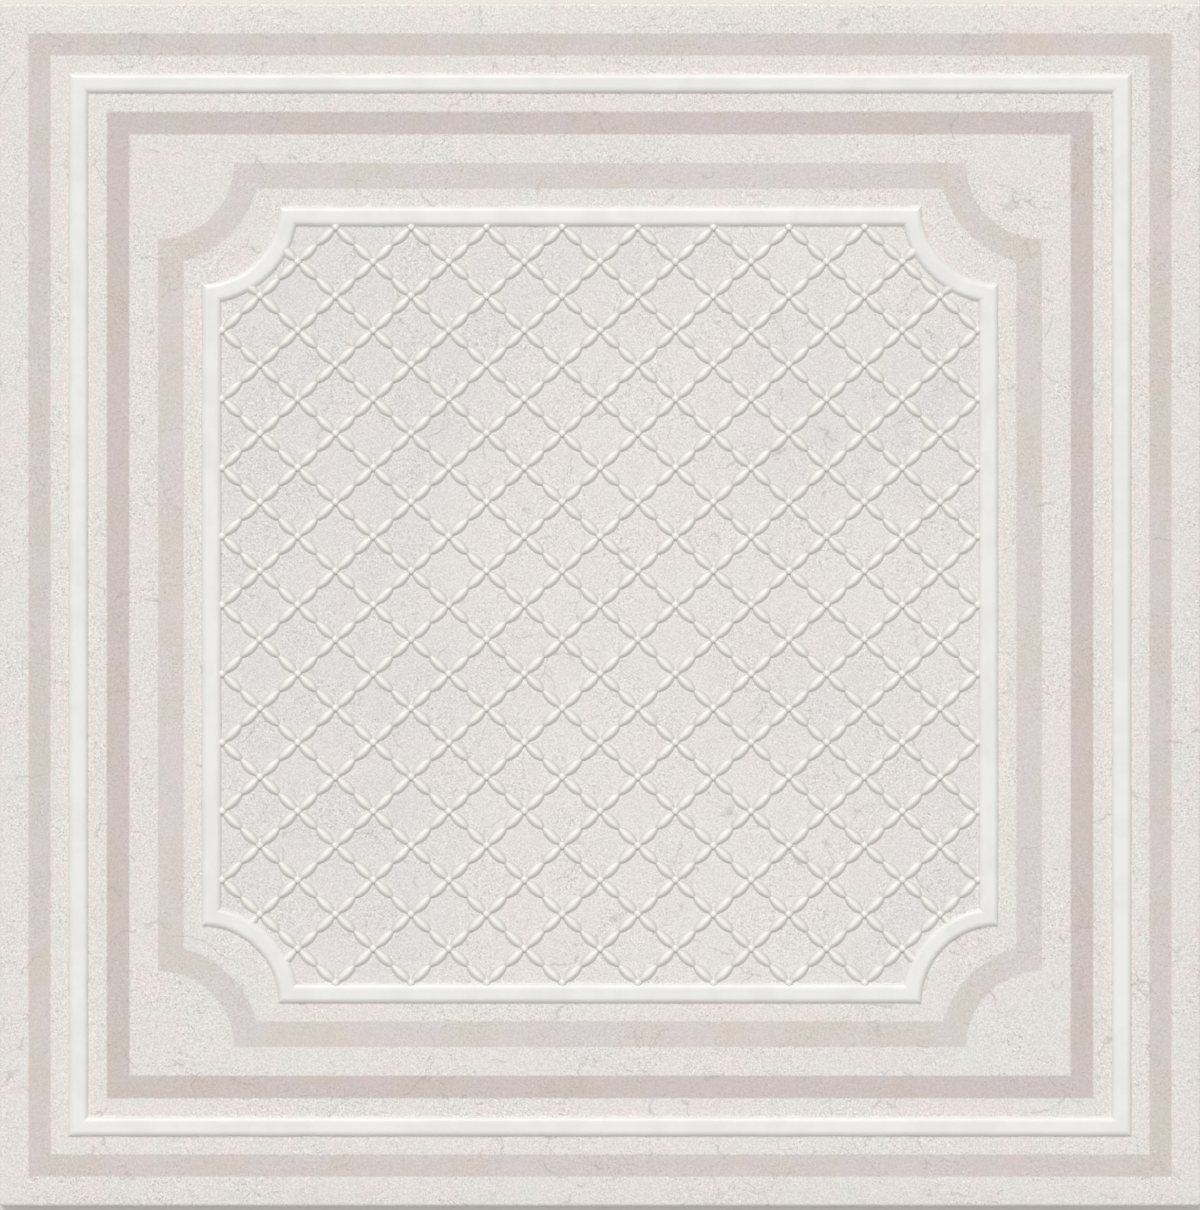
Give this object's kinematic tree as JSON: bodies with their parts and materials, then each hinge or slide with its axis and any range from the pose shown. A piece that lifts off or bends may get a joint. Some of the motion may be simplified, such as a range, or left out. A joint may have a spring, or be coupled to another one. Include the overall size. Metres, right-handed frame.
{
  "type": "decorative tile",
  "caption": "Square glazed ceramic tile, face up, with two raised mouldings, printed bands and a raised trellis of pods and beads inside a frame with bitten corners.",
  "frame": {"origin": "centre of the tile on the plane of its back's ribs, which is the floor it lies on", "axes": "+Z out of the decorated face, +Y towards the top of the picture, +X towards its right"},
  "size_m": [0.402, 0.402, 0.0091],
  "materials": {
    "tile": "satin glaze printed as cream stone, with beige bands and plain white raised work"
  },
  "bodies": {
    "root": {"tile": "tile"}
  },
  "joints": []
}
